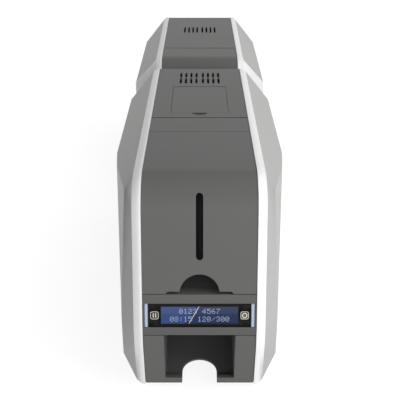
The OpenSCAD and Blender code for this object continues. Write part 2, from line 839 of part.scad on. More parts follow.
motor_w = 42;
motor_len = 34;
motor_shaft_r = 2.5;
motor_pulley_r = 5;
motor_boss_r = 10.8;
module motor_body(v, z) {
    translate([-frame_in, v, z]) rotate([0, 90, 0]) difference() {
        union() {
            linear_extrude(motor_len) rounded_rect(motor_w, motor_w, 4);
            translate([0, 0, -1]) cylinder(r = motor_boss_r, h = 2, $fn = 48);
        }
        translate([0, 0, -2]) cylinder(r = motor_shaft_r + running, h = 12, $fn = 32);
        for (x = [-15.5, 15.5]) for (y = [-15.5, 15.5]) translate([x, y, -1])
            cylinder(r = 1.5, h = 6, $fn = 24);
    }
}
module drive_motor() { printer() color([0.2, 0.2, 0.21]) motor_body(motor_v, motor_z); }
module motor_pulley() {
    printer() color([0.8, 0.8, 0.8]) {
        bar(motor_v, motor_z, motor_shaft_r, pulley_x - pulley_w, -frame_in + 8, 32);
        pulley(motor_v, motor_z, motor_pulley_r);
    }
}

// The belt runs round the pulleys with a small clearance, as a flat loop
belt_t = 1.2;
module loop2d(grow) {
    hull() {
        translate([platen_v, platen_z]) circle(r = platen_pulley_r + grow, $fn = 40);
        translate([rollers_v[1], shaft_z]) circle(r = pulley_r + grow, $fn = 40);
        translate([motor_v, motor_z]) circle(r = motor_pulley_r + grow, $fn = 40);
    }
}
module drive_belt() {
    printer() color([0.1, 0.1, 0.1])
        across(pulley_x - pulley_w + 1.3, pulley_x - 1.3) difference() {
            loop2d(0.2 + belt_t);
            loop2d(0.2);
        }
}

// ---------- printhead ----------

arm_x = frame_in - 1;                    // outer face of the carrier's arms
head_w = 62;                             // width of the printhead
head_t = 9;
head_top = 12.4;                         // its top over the card path
module printhead_carrier() {
    printer() color([0.78, 0.79, 0.8]) {
        both() {
            across(arm_x - 1.5, arm_x) polygon([
                [head_pivot_v + 6, head_pivot_z - 5], [head_pivot_v + 6, head_pivot_z + 5],
                [platen_v + 4, path_z + 14], [platen_v - 7, path_z + 14],
                [platen_v - 7, path_z + 5], [head_pivot_v - 6, path_z + 5]]);
            bar(head_pivot_v, head_pivot_z, head_pin_r, arm_x - 1.5, frame_out + 1, 32);
        }
        // bridge over the head
        block(-arm_x + 1.5, arm_x - 1.5, platen_v - 5, platen_v + 5, path_z + head_top,
            path_z + 14);
    }
}
module thermal_printhead() {
    printer() color([0.85, 0.82, 0.75]) difference() {
        union() {
            block(-head_w / 2, head_w / 2, platen_v - head_t / 2, platen_v + head_t / 2,
                path_z + 3, path_z + head_top);
            block(-head_w / 2 + 2, head_w / 2 - 2, platen_v - 2.5, platen_v + 2.5,
                path_z + 1.8, path_z + 3);
        }
        for (k = [-6:6]) block(head_w * k / 14 - 1, head_w * k / 14 + 1, platen_v - 9,
            platen_v - 1.4, path_z + 5, path_z + head_top - 1.8);
    }
}

// ---------- ribbon ----------

spool_x = ribbon_w / 2 + 3;              // inner face of the cassette's cheeks
cheek_t = 2;
journal_r = 4;
module cheek2d() {
    difference() {
        union() {
            translate([supply_v, spool_z]) circle(r = supply_r + 2, $fn = 64);
            translate([takeup_v, spool_z]) circle(r = takeup_r + 2, $fn = 64);
            polygon([[supply_v, spool_z + 4], [takeup_v, spool_z + 4],
                [takeup_v, spool_z + takeup_r + 2], [platen_v + 12, spool_z + supply_r + 2],
                [supply_v, spool_z + supply_r + 2]]);
            slab(supply_v - 6, supply_v + 8, tab_z + fit, spool_z);
            slab(takeup_v - 6, takeup_v + 8, tab_z + fit, spool_z);
        }
        translate([supply_v, spool_z]) circle(r = journal_r + running, $fn = 48);
        translate([takeup_v, spool_z]) circle(r = journal_r + running, $fn = 48);
    }
}
module ribbon_cassette() {
    printer() color([0.85, 0.86, 0.87]) {
        both() across(spool_x, spool_x + cheek_t) cheek2d();
        // bridge and its grip
        z = spool_z + supply_r + 2;
        block(-spool_x, spool_x, platen_v - 9, platen_v + 9, z - 3, z - 1);
        difference() {
            block(-16, 16, platen_v - 2, platen_v + 2, z - 1.5, z + 12);
            translate([0, platen_v + 9, z + 4.5]) rotate([90, 0, 0])
                linear_extrude(18) rounded_rect(22, 8, 3.5);
        }
        both() block(spool_x - 3, spool_x + 0.5, platen_v - 9, platen_v + 9, z - 8, z - 1);
    }
}
module spool(v, r_core) {
    bar(v, spool_z, r_core, -ribbon_w / 2 - 0.5, ribbon_w / 2 + 0.5);
    bar(v, spool_z, journal_r, -spool_x - cheek_t - 1, spool_x + cheek_t + 1);
    for (x = [-ribbon_w / 2 - 2, ribbon_w / 2 + 0.5]) bar(v, spool_z, r_core + 3, x, x + 1.5);
}
module roll(v, r, r_core) {
    difference() {
        bar(v, spool_z, r, -ribbon_w / 2, ribbon_w / 2, 96);
        bar(v, spool_z, r_core + 0.03, -far, far);
    }
}
core_r = 6.5;
module supply_spool() { printer() color([0.93, 0.93, 0.9]) spool(supply_v, core_r); }
module takeup_spool() { printer() color([0.93, 0.93, 0.9]) spool(takeup_v, core_r); }
module supply_ribbon() { printer() color([0.7, 0.25, 0.35]) roll(supply_v, supply_r, core_r); }
module takeup_ribbon() { printer() color([0.2, 0.2, 0.25]) roll(takeup_v, takeup_r, core_r); }

film_t = 0.3;
module ribbon_film() {
    z = path_z + 1.2;
    printer() color([0.75, 0.65, 0.2]) across(-ribbon_w / 2 + 1, ribbon_w / 2 - 1)
        polygon([[supply_v + supply_r + 0.3, spool_z], [platen_v - 6, z],
            [platen_v + 6, z], [takeup_v - takeup_r - 0.6, spool_z],
            [takeup_v - takeup_r - 0.6 - film_t, spool_z],
            [platen_v + 6 - film_t, z + film_t], [platen_v - 6 + film_t, z + film_t],
            [supply_v + supply_r + 0.3 + film_t, spool_z]]);
}

// ---------- electronics ----------

board_gap = 4;                           // between the right frame and the board
board_x = frame_out + board_gap;
board_t = 1.6;
board_len = 150;
board_h = 100;
board_v = platen_v + 42;
chip_t = 2.4;
capacitor_h = 12.4;
module main_board() {
    v0 = board_v;
    v1 = board_v + board_len;
    z0 = under + 34;
    z1 = z0 + board_h;
    xb = board_x + board_t;
    printer() color([0.1, 0.35, 0.2]) {
        difference() {
            block(board_x, xb, v0, v1, z0, z1);
            for (v = [v0 + 5, v1 - 5]) for (z = [z0 + 5, z1 - 5])
                bar(v, z, 1.6, board_x - 1, board_x + 3, 24);
        }
        for (v = [v0 + 5, v1 - 5]) for (z = [z0 + 5, z1 - 5])
            difference() {
                bar(v, z, 2.8, frame_out, board_x, 24);
                bar(v, z, 1.2, frame_out - 1, board_x + 1, 24);
            }
        for (k = [0:2]) block(xb, xb + chip_t, v0 + 20 + 40 * k, v0 + 42 + 40 * k,
            z0 + 40, z0 + 62);
        for (k = [0:4]) bar(v0 + 24 + 22 * k, z1 - 18, 5, xb, xb + capacitor_h, 32);
        block(xb, xb + 8.4, v0 + 20, v1 - 30, z0 + 8, z0 + 18);
    }
}

fan_w = 40;
fan_t = 10;
fan_z = top - 6 - fan_t;                 // underside of the fan
module fan_frame() {
    printer() color([0.12, 0.12, 0.12]) translate([0, fan_v, fan_z]) {
        difference() {
            linear_extrude(fan_t) rounded_rect(fan_w, fan_w, 3);
            translate([0, 0, 1.5]) cylinder(r = fan_w / 2 - 1, h = fan_t, $fn = 72);
            translate([0, 0, -1]) difference() {
                cylinder(r = fan_w / 2 - 1, h = 4, $fn = 72);
                cylinder(r = 9, h = 4, $fn = 48);
                for (a = [45, 135]) rotate([0, 0, a]) translate([-fan_w, -1.2, 0])
                    cube([2 * fan_w, 2.4, 4]);
            }
        }
        translate([0, 0, 1]) cylinder(r = 1.5, h = 5, $fn = 24);
    }
}
module fan_rotor() {
    printer() color([0.2, 0.2, 0.2]) translate([0, fan_v, fan_z + 2]) difference() {
        union() {
            cylinder(r = 8.5, h = 7, $fn = 48);
            for (k = [0:6]) rotate([0, 0, k * 360 / 7]) translate([7, 0, 1])
                rotate([28, 0, 0]) translate([0, -0.6, 0]) cube([10.6, 1.2, 5.4]);
        }
        translate([0, 0, -1]) cylinder(r = 1.5 + running, h = 6, $fn = 24);
    }
}

// ---------- laminator ----------

lid_len = 103;                           // hinged cover of the laminator, from its nose
lid_drop = 50;                           // how far its front comes down
lid_edge = top - lid_drop;               // height of its lower edge
lam_hinge_v = lid_len - seam / 2 - wall;
heat_r = 11;
heat_v = 72;
heat_z = path_z + heat_r + 0.9;
press_r = 9;
press_z = path_z - press_r;
film_r = 15;
film_left_r = 11;
film_drop = 32;                          // from the top down to the film rolls' axes
film_z = top - film_drop;
film_front = 52;                         // axis of the full film roll
film_pitch = 40;
film_v = [film_front, film_front + film_pitch];
exit_gap = 78;                           // from the heated rollers to the exit roller
exit_v = heat_v + exit_gap;

module laminator_cover() {
    laminator() color("dimgray") {
        cover_skin(laminator_len, -1, lam_hinge_v, lid_edge + seam / 2, top + 1);
        cover_hinge(lam_hinge_v);
        for (v = [62, 80]) both()
            block(12, cover_x - 2, v, v + 1.6, top - wall - 2.5, top - wall / 2);
    }
}

panel_end = chin_tuck + 12;              // rear edge of the front panel's underside
module laminator_front_panel() {
    w = card_w / 2 + 3;
    laminator() color("dimgray") difference() {
        union() {
            cover_skin(laminator_len, -1, 60, under, lid_edge - seam / 2);
            // throat that reaches the printer's card slot
            block(-w - 3, w + 3, -dock_gap / 2, 20, path_z - 6, path_z + 8);
        }
        block(-w, w, -9, 30, path_z - 3, path_z + 5);
        across(-half_c, half_c) slab(panel_end, far, -1, base_z1 + fit);
    }
}

ports_z = under + 26;                    // height of the sockets on the rear wall
inlet_x = 5;
switch_x = -22;
switch_w = 10.8;
switch_h = 15;
socket_x = [28.5, 38.8];                 // middles of the two data sockets
module laminator_rear_cover() {
    v0 = lid_len + seam / 2;
    v1 = laminator_len;
    laminator() color("dimgray") difference() {
        cover_skin(laminator_len, v0, v1 + 1, under + 12, top + 1);
        translate([0, 0, top - wall - 1]) linear_extrude(wall + 2)
            vents(lam_vents_v[0], lam_vents_v[1]);
        // card exit, and openings for inlet, switch and sockets
        block(-card_w / 2 - 3, card_w / 2 + 3, v1 - 9, v1 + 1, path_z - 4, path_z + 8);
        block(switch_x - switch_w / 2 - 3 - fit, inlet_x + 14 + fit, v1 - 9, v1 + 1,
            ports_z - 10 - fit, ports_z + 10 + fit);
        block(socket_x[0] - 6.3 - fit, socket_x[1] + 5 + fit, v1 - 9, v1 + 1,
            ports_z - 10 - fit, ports_z + 8 + fit);
    }
}

lam_base_v0 = panel_end + fit;
module laminator_base() {
    laminator() color([0.25, 0.25, 0.26])
        base_tray(lam_base_v0, laminator_len - 1, lam_base_v0 + lam_slots_back);
}

lam_motor_v = heat_v + 24;
module laminator_frames() {
    v0 = lam_base_v0 + wall + fit;
    v1 = laminator_len - 1 - 2 * wall - fit;
    laminator() color([0.72, 0.73, 0.75]) both() difference() {
        across(frame_in, frame_out) difference() {
            intersection() {
                flat(laminator_len, 9);
                slab(v0, v1, under + base_t, top);
            }
            slab(exit_v - 20, v1 - 24, under + 20, path_z - 20);
            slab(exit_v - 20, v1 - 24, path_z + 20, top - 26);
        }
        for (v = film_v) shaft_bore(v, film_z, journal_r);
        shaft_bore(heat_v, heat_z, journal_r);
        shaft_bore(heat_v, press_z, journal_r);
        shaft_bore(exit_v, shaft_z, shaft_r);
        shaft_bore(lam_motor_v, motor_z, motor_boss_r);
    }
}

module lam_roller(v, z, r) {
    bar(v, z, r, -card_w / 2 - 4, card_w / 2 + 4, 72);
    bar(v, z, journal_r, -frame_out - 1, frame_out + 1);
}
module heat_roller() { laminator() color([0.75, 0.3, 0.2]) lam_roller(heat_v, heat_z, heat_r); }
module pressure_roller() {
    laminator() color([0.3, 0.3, 0.3]) lam_roller(heat_v, press_z, press_r);
}
module film_roll(v, r) {
    laminator() color([0.9, 0.9, 0.92]) {
        bar(v, film_z, r, -ribbon_w / 2, ribbon_w / 2, 72);
        bar(v, film_z, journal_r, -frame_out - 1, frame_out + 1);
        for (x = [-ribbon_w / 2 - 2, ribbon_w / 2]) bar(v, film_z, film_r + 2, x, x + 2, 72);
    }
}
module film_supply_roll() { film_roll(film_v[0], film_r); }
module film_takeup_roll() { film_roll(film_v[1], film_left_r); }
module exit_roller() {
    laminator() color("darkslategray") {
        sleeve(exit_v, shaft_z, roller_r, -card_w / 2, card_w / 2);
        bar(exit_v, shaft_z, shaft_r, -frame_out - 1, frame_out + 1);
    }
}
module laminator_motor() {
    laminator() color([0.2, 0.2, 0.21]) motor_body(lam_motor_v, motor_z);
}

psu_w = 76;
psu_len = 100;
psu_h = 39;
psu_v = exit_v + 15;
module power_supply() {
    z1 = under + base_t + psu_h;
    laminator() color([0.7, 0.7, 0.72]) difference() {
        block(-psu_w / 2, psu_w / 2, psu_v, psu_v + psu_len, under + base_t, z1);
        for (k = [-3.5:3.5]) block(psu_w * k / 9.5 - 1.5, psu_w * k / 9.5 + 1.5,
            psu_v + psu_len * 0.15, psu_v + psu_len * 0.85, z1 - 2, z1 + 1);
    }
}

// Appliance inlet with three flat pins beside the pocket of the mains switch
switch_pin_r = 1.5;
module power_inlet() {
    v1 = laminator_len - 0.2;
    x0 = switch_x - switch_w / 2 - 3;
    laminator() color([0.08, 0.08, 0.08]) {
        difference() {
            block(x0, inlet_x + 14, v1 - 20, v1, ports_z - 10, ports_z + 10);
            block(inlet_x - 12, inlet_x + 12, v1 - 16, v1 + 1, ports_z - 8, ports_z + 8);
            block(switch_x - switch_w / 2 - fit, switch_x + switch_w / 2 + fit, v1 - 12, v1 + 1,
                ports_z - switch_h / 2 - 1, ports_z + switch_h / 2 + 1);
            bar(v1 - 6, ports_z, switch_pin_r + running, switch_x - switch_w / 2 - 2,
                switch_x + switch_w / 2 + 2, 32);
        }
        for (p = [[-7, -1.5], [0, 2.5], [7, -1.5]])
            block(inlet_x + p[0] - 1, inlet_x + p[0] + 1, v1 - 17, v1 - 4,
                ports_z + p[1] - 2, ports_z + p[1] + 2);
    }
}

// Rocker of the mains switch, which tips about its pins; its upper half stands out
switch_tilt = 8;
module power_switch() {
    h = switch_h / 2 - 0.5;
    laminator() color([0.1, 0.1, 0.1]) translate([0, laminator_len - 6.2, ports_z]) {
        rotate([-switch_tilt, 0, 0]) across(switch_x - switch_w / 2, switch_x + switch_w / 2)
            polygon([[-3, -4], [6, -h], [4.8, 0], [6, h], [-3, 4]]);
        bar(0, 0, switch_pin_r, switch_x - switch_w / 2 - 1.7,
            switch_x + switch_w / 2 + 1.7, 32);
    }
}

// A square and a wider socket on one carrier
module data_ports() {
    v1 = laminator_len - 0.4;
    laminator() color([0.75, 0.76, 0.78]) difference() {
        block(socket_x[0] - 6.3, socket_x[1] + 5, v1 - 18, v1, ports_z - 10, ports_z + 8);
        block(socket_x[0] - 4.5, socket_x[0] + 4.5, v1 - 15, v1 + 1, ports_z - 4.5,
            ports_z + 3.5);
        block(socket_x[1] - 3.8, socket_x[1] + 3.8, v1 - 15, v1 + 1, ports_z - 7.5,
            ports_z + 5.5);
    }
}

// ---------- the parts ----------

output_tray();
printer_base();
rubber_feet();
mirror([1, 0, 0]) printer_side();  // printer_side_left
printer_side();  // printer_side_right
mirror([1, 0, 0]) printer_band();  // printer_band_left
printer_band();  // printer_band_right
top_cover();
card_window();
printer_rear_cover();
service_hatch();
display_bezel();
display_panel();
lcd_screen();
light_bars();
pause_key();
cancel_key();
side_frame_left();
side_frame_right();
card_hopper();
card_weight();
pick_roller();
cleaning_roller();
platen_roller();
transport_roller_1();
transport_roller_2();
printhead_carrier();
thermal_printhead();
ribbon_cassette();
supply_spool();
supply_ribbon();
takeup_spool();
takeup_ribbon();
ribbon_film();
drive_motor();
motor_pulley();
drive_belt();
main_board();
fan_frame();
fan_rotor();
laminator_base();
mirror([1, 0, 0]) laminator_side();  // laminator_side_left
laminator_side();  // laminator_side_right
mirror([1, 0, 0]) laminator_band();  // laminator_band_left
laminator_band();  // laminator_band_right
laminator_cover();
laminator_front_panel();
laminator_rear_cover();
laminator_frames();
heat_roller();
pressure_roller();
film_supply_roll();
film_takeup_roll();
exit_roller();
laminator_motor();
power_supply();
power_inlet();
power_switch();
data_ports();
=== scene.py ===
"""Looks for the desktop ID card printer with its laminating module.

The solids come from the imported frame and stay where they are. This script gives them materials and
rounded edges, adds the small pieces that the solids leave out, and sets lights, backdrop and camera.
Metres; +X right, +Y back, +Z up; the front faces -Y. Outlines on the leaning face, on a screw and on
the rocker are in millimetres.
"""
import math
from functools import partial

import bmesh
import bpy
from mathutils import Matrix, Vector


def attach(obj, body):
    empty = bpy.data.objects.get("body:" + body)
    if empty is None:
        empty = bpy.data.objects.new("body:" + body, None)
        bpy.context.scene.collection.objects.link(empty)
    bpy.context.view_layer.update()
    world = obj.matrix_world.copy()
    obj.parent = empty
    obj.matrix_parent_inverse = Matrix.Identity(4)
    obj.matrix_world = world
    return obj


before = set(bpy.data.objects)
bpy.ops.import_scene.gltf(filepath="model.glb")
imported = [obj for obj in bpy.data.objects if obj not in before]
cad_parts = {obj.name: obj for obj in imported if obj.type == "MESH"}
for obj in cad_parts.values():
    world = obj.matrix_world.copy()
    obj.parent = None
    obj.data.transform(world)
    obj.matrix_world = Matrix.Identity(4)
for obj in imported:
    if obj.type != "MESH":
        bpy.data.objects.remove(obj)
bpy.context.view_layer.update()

MM = 0.001
BOTH_SIDES = (-1, 1)
LEAN = math.radians(13.5)         # lean of the front face
NOSE_Z = 0.072                    # height where the leaning face begins
DISPLAY_Z = 0.0847                # middle of the display panel


def corners(node):
    """The least and the greatest corner of a node's solid at rest."""
    ob = bpy.data.objects[node]
    points = [ob.matrix_world @ v.co for v in ob.data.vertices]
    low = Vector([min(p[k] for p in points) for k in range(3)])
    high = Vector([max(p[k] for p in points) for k in range(3)])
    return low, high


def middle(node):
    """The middle of a node's bounds."""
    low, high = corners(node)
    return (low + high) / 2


NOSE_Y = corners("output_tray")[0].y
REAR_Y = corners("laminator_rear_cover")[1].y
BOARD_X = corners("main_board")[0].x + 0.0056      # past its standoffs and its plate: its part side


# ---------------------------------------------------------------- materials

def srgb(r, g, b):
    """Linear colour from 0-255 screen values."""
    def lin(c):
        c = c / 255
        return c / 12.92 if c <= 0.04045 else ((c + 0.055) / 1.055) ** 2.4
    return (lin(r), lin(g), lin(b), 1.0)


class Nodes:
    """A small helper that builds one material's node tree."""

    def __init__(self, name):
        self.mat = bpy.data.materials.new(name)
        self.mat.use_nodes = True
        self.tree = self.mat.node_tree
        self.bsdf = self.tree.nodes["Principled BSDF"]

    def add(self, kind, **values):
        n = self.tree.nodes.new(kind)
        for k, v in values.items():
            if k in n.inputs:
                n.inputs[k].default_value = v
            else:
                setattr(n, k, v)
        return n

    def link(self, a, b):
        self.tree.links.new(a, b)

    def feed(self, socket, value):
        """Links a socket to another node's output, or sets it to a number or a colour."""
        if isinstance(value, bpy.types.NodeSocket):
            self.link(value, socket)
        else:
            socket.default_value = value

    def coords(self, scale=(1, 1, 1)):
        tc = self.add("ShaderNodeTexCoord")
        mp = self.add("ShaderNodeMapping")
        mp.inputs["Scale"].default_value = scale
        self.link(tc.outputs["Object"], mp.inputs["Vector"])
        return mp.outputs["Vector"]

    def noise(self, scale, detail=2.0, vec=None, rough=0.5):
        n = self.add("ShaderNodeTexNoise")
        n.inputs["Scale"].default_value = scale
        n.inputs["Detail"].default_value = detail
        n.inputs["Roughness"].default_value = rough
        self.link(vec or self.coords(), n.inputs["Vector"])
        return n.outputs["Fac"]

    def remap(self, value, a, b, c, d):
        n = self.add("ShaderNodeMapRange")
        for k, v in zip(("From Min", "From Max", "To Min", "To Max"), (a, b, c, d)):
            n.inputs[k].default_value = v
        self.link(value, n.inputs["Value"])
        return n.outputs["Result"]

    def mix(self, fac, a, b):
        n = self.add("ShaderNodeMix", data_type="RGBA")
        for socket, value in ((n.inputs[0], fac), (n.inputs[6], a), (n.inputs[7], b)):
            self.feed(socket, value)
        return n.outputs[2]

    def blend(self, fac, a, b):
        """Like mix, for plain numbers."""
        n = self.add("ShaderNodeMix", data_type="FLOAT")
        for socket, value in ((n.inputs[0], fac), (n.inputs[2], a), (n.inputs[3], b)):
            self.feed(socket, value)
        return n.outputs[0]

    def reckon(self, operation, *values):
        """The result of a math node on outputs and numbers."""
        n = self.add("ShaderNodeMath", operation=operation)
        for socket, value in zip(n.inputs, values):
            self.feed(socket, value)
        return n.outputs[0]

    def place(self):
        """The three coordinates of the shaded point."""
        where = self.add("ShaderNodeTexCoord")
        apart = self.add("ShaderNodeSeparateXYZ")
        self.link(where.outputs["Object"], apart.inputs["Vector"])
        return apart.outputs

    def vary(self, noise, low, high):
        """Spreads a noise, most of which lies between 0.3 and 0.7, from low to high."""
        return self.remap(noise, 0.3, 0.7, low, high)

    def bump(self, height, strength, distance):
        n = self.add("ShaderNodeBump")
        n.inputs["Strength"].default_value = strength
        n.inputs["Distance"].default_value = distance
        self.link(height, n.inputs["Height"])
        self.link(n.outputs["Normal"], self.bsdf.inputs["Normal"])


def shade(color, k):
    return (color[0] * k, color[1] * k, color[2] * k, 1.0)


def moulded(name, color, rough, grain, tone, spec=0.5):
    """Moulded plastic: fine grain in bump and roughness, and a slow drift in tone."""
    m = Nodes(name)
    vec = m.coords()
    slow = m.noise(9.0, 3.0, vec)
    fine = m.noise(1400.0, 2.0, vec, 0.6)
    base = m.mix(m.vary(slow, 0.0, 1.0), shade(color, 1 - tone), shade(color, 1 + tone))
    speck = m.mix(m.remap(fine, 0.35, 0.65, 0.0, 1.0), shade(color, 0.97), shade(color, 1.03))
    m.link(m.mix(0.5, base, speck), m.bsdf.inputs["Base Color"])
    m.link(m.vary(fine, rough - 0.05, rough + 0.07), m.bsdf.inputs["Roughness"])
    m.bsdf.inputs["Specular IOR Level"].default_value = spec
    if grain:
        m.bump(fine, grain, 0.00012)
    return m.mat


def brushed(name, color, rough=0.35, along=(1, 30, 30)):
    """Rolled or brushed metal: streaks along one direction."""
    m = Nodes(name)
    streak = m.noise(60.0, 4.0, m.coords(along), 0.6)
    cloud = m.noise(14.0, 3.0)
    base = m.mix(m.vary(streak, 0, 1), shade(color, 0.86), shade(color, 1.1))
    m.link(base, m.bsdf.inputs["Base Color"])
    m.bsdf.inputs["Metallic"].default_value = 1.0
    m.link(m.vary(cloud, rough - 0.06, rough + 0.1), m.bsdf.inputs["Roughness"])
    m.bump(streak, 0.15, 0.0001)
    return m.mat


def rubbery(name, color, rough):
    """Rubber: matt, with a ground surface."""
    m = Nodes(name)
    fine = m.noise(900.0, 3.0)
    cloud = m.noise(40.0, 2.0)
    base = m.mix(m.vary(cloud, 0, 1), shade(color, 0.8), shade(color, 1.25))
    m.link(base, m.bsdf.inputs["Base Color"])
    m.link(m.vary(fine, rough - 0.1, rough + 0.1), m.bsdf.inputs["Roughness"])
    m.bump(fine, 0.35, 0.0002)
    return m.mat


def striped_roll(name, colors, pitch):
    """A dye ribbon: panels of colour that follow each other round the roll, with fine layers."""
    m = Nodes(name)
    tc = m.add("ShaderNodeTexCoord")
    wave = m.add("ShaderNodeTexWave", wave_type="BANDS", bands_direction="Z")
    wave.inputs["Scale"].default_value = pitch
    wave.inputs["Distortion"].default_value = 0.4
    m.link(tc.outputs["Object"], wave.inputs["Vector"])
    ramp = m.add("ShaderNodeValToRGB")
    ramp.color_ramp.interpolation = "CONSTANT"
    while len(ramp.color_ramp.elements) < len(colors):
        ramp.color_ramp.elements.new(0.5)
    for k, c in enumerate(colors):
        ramp.color_ramp.elements[k].position = k / len(colors)
        ramp.color_ramp.elements[k].color = c
    m.link(wave.outputs["Fac"], ramp.inputs["Fac"])
    m.link(ramp.outputs["Color"], m.bsdf.inputs["Base Color"])
    fine = m.noise(1200.0, 2.0)
    m.link(m.vary(fine, 0.18, 0.3), m.bsdf.inputs["Roughness"])
    m.bump(fine, 0.08, 0.0001)
    return m.mat


PAINTED_REFLECTION_RUN = 0.62                   # the painted reflection's edge runs this far right for each metre up
PAINTED_REFLECTION_X = (-0.0605, -0.0590)       # its two sides, brought down along it to the desk
SCREEN_HALF = 0.034


def lcd_material():
    """Backlit blue screen with a painted reflection: lighter on the left of a slanting edge, with
    slightly uneven glow.
    """
    m = Nodes("lcd_blue")
    place = m.place()
    # painted reflection: lighter blue left of the slanting edge, darker blue right of it
    lean = m.reckon("ADD", place["X"], m.reckon("MULTIPLY", place["Z"], -PAINTED_REFLECTION_RUN))
    side = m.remap(lean, *PAINTED_REFLECTION_X, 0.0, 1.0)
    fade = m.remap(place["X"], -SCREEN_HALF, SCREEN_HALF, 0.0, 1.0)
    left = m.mix(fade, srgb(48, 69, 113), srgb(43, 61, 108))
    right = m.mix(fade, srgb(28, 43, 84), srgb(32, 44, 74))
    color = m.mix(side, left, right)
    wave = m.noise(300.0, 1.0)
    tinted = m.mix(m.vary(wave, 0.0, 0.12), color, (0.01, 0.015, 0.05, 1))
    m.link(tinted, m.bsdf.inputs["Base Color"])
    m.link(tinted, m.bsdf.inputs["Emission Color"])
    m.bsdf.inputs["Emission Strength"].default_value = 0.35
    m.link(m.vary(wave, 0.16, 0.24), m.bsdf.inputs["Roughness"])
    m.bsdf.inputs["Specular IOR Level"].default_value = 0.12
    return m.mat


def by_place(name, axis, edges, colors, roughs, metals):
    """One material whose colour changes with the distance from the middle plane along an axis."""
    m = Nodes(name)
    distance = m.reckon("ABSOLUTE", m.place()[axis])
    fine = m.noise(900.0, 2.0)
    tone = m.vary(fine, 0.0, 0.25)
    color = m.mix(tone, colors[0], shade(colors[0], 0.7))
    rough, metal = roughs[0], metals[0]
    for edge, c, r, k in zip(edges, colors[1:], roughs[1:], metals[1:]):
        past = m.reckon("GREATER_THAN", distance, edge)
        color = m.mix(past, color, m.mix(tone, c, shade(c, 0.8)))
        rough = m.blend(past, rough, r)
        metal = m.blend(past, metal, k)
    m.link(color, m.bsdf.inputs["Base Color"])
    m.link(rough, m.bsdf.inputs["Roughness"])
    m.link(metal, m.bsdf.inputs["Metallic"])
    m.bump(fine, 0.12, 0.0001)
    return m.mat


# Moulded pieces: colour, roughness, strength of the grain, drift in tone
DARK = moulded("dark_grey_grained", srgb(100, 100, 99), 0.50, 0.16, 0.03, spec=0.2)
DARK_TRAY = moulded("dark_grey_tray", srgb(101, 101, 100), 0.52, 0.16, 0.03, spec=0.2)
DARK_BAR = moulded("dark_grey_bar", srgb(95, 95, 94), 0.5, 0.16, 0.03, spec=0.2)
SILVER = moulded("silver_satin", srgb(186, 186, 185), 0.42, 0.08, 0.02, spec=0.1)
WHITE = moulded("white_satin", srgb(250, 250, 250), 0.36, 0.05, 0.01)
BLACK = moulded("black_matt", srgb(34, 34, 35), 0.55, 0.2, 0.08)
HOPPER = moulded("hopper_black", srgb(40, 40, 40), 0.6, 0.2, 0.06, spec=0.2)
SLOT_BLACK = moulded("window_black", srgb(17, 17, 18), 0.4, 0.03, 0.05, spec=0.02)
PANEL = moulded("black_glossy_panel", srgb(24, 23, 24), 0.3, 0.0, 0.04, spec=0.06)
KEY = moulded("key_black", srgb(27, 26, 28), 0.34, 0.02, 0.05, spec=0.1)
ICON = moulded("icon_white", srgb(206, 202, 192), 0.4, 0.0, 0.02)
STEEL = brushed("zinc_steel", srgb(176, 178, 182), 0.34)
CHROME = brushed("plated_socket", srgb(205, 206, 208), 0.2)
ALU = brushed("aluminium_turned", srgb(196, 197, 199), 0.3, (30, 1, 1))
FEET = rubbery("foot_rubber", srgb(30, 30, 30), 0.85)
BELT = rubbery("belt_black", srgb(26, 26, 27), 0.7)
SPOOL = moulded("spool_white", srgb(222, 221, 214), 0.45, 0.1, 0.03)
CASSETTE = moulded("cassette_grey", srgb(188, 192, 198), 0.35, 0.08, 0.03)
CERAMIC = moulded("printhead_ceramic", srgb(188, 180, 158), 0.4, 0.2, 0.06)
MOTOR = moulded("motor_black", srgb(38, 38, 40), 0.35, 0.1, 0.05, spec=0.6)
WEIGHT = moulded("weight_painted", srgb(46, 46, 48), 0.5, 0.2, 0.04, spec=0.3)
RIBBON = striped_roll("dye_ribbon", [srgb(196, 168, 26), srgb(150, 30, 90), srgb(20, 96, 140),
                                      srgb(26, 24, 26)], 60.0)
RIBBON_END = striped_roll("dye_ribbon_spent", [srgb(40, 26, 40), srgb(30, 40, 60)], 60.0)
LCD = lcd_material()
GLYPH = moulded("lcd_glyphs", srgb(158, 176, 194), 0.3, 0.0, 0.02, spec=0.2)
GOLD = brushed("gold_contact", srgb(212, 170, 84), 0.25)
# light strip that paints the edge of a reflection on the screen
GLARE = moulded("lcd_glare_line", srgb(196, 190, 190), 0.3, 0.0, 0.02)
SHAFT_GREY = srgb(190, 192, 196)
SLEEVE_BLACK = srgb(46, 46, 48)
PULLEY_BLACK = srgb(30, 30, 31)
PULLEY_FROM = 0.0464              # a shaft's pulley sits beyond this distance from the middle


def roller(name, half, color):
    """Sleeve in the middle out to half, ground steel shaft outside it, black pulley at its end."""
    return by_place(name, "X", (half, PULLEY_FROM), (color, SHAFT_GREY, PULLEY_BLACK),
                    (0.7, 0.25, 0.45), (0.0, 1.0, 0.0))


PLATEN = roller("platen_rubber_and_steel", 0.0301, SLEEVE_BLACK)
TRANSPORT = roller("transport_rubber_and_steel", 0.0271, SLEEVE_BLACK)
PICK = roller("pick_rubber_and_steel", 0.0181, SLEEVE_BLACK)
CLEAN = roller("cleaning_blue_and_steel", 0.0291, srgb(52, 96, 160))
HOT = roller("silicone_and_steel", 0.0311, srgb(150, 70, 48))
PRESS = roller("pressure_rubber_and_steel", 0.0311, SLEEVE_BLACK)
FILM = roller("film_roll_and_steel", 0.0321, srgb(214, 218, 222))
# Green board, black chips just above its part side, grey tops of the taller parts
PCB = by_place("board_and_parts", "X", (BOARD_X + 0.0001, BOARD_X + 0.0044),
               (srgb(24, 84, 52), srgb(28, 28, 30), srgb(150, 152, 156)),
               (0.35, 0.4, 0.3), (0.0, 0.0, 0.6))
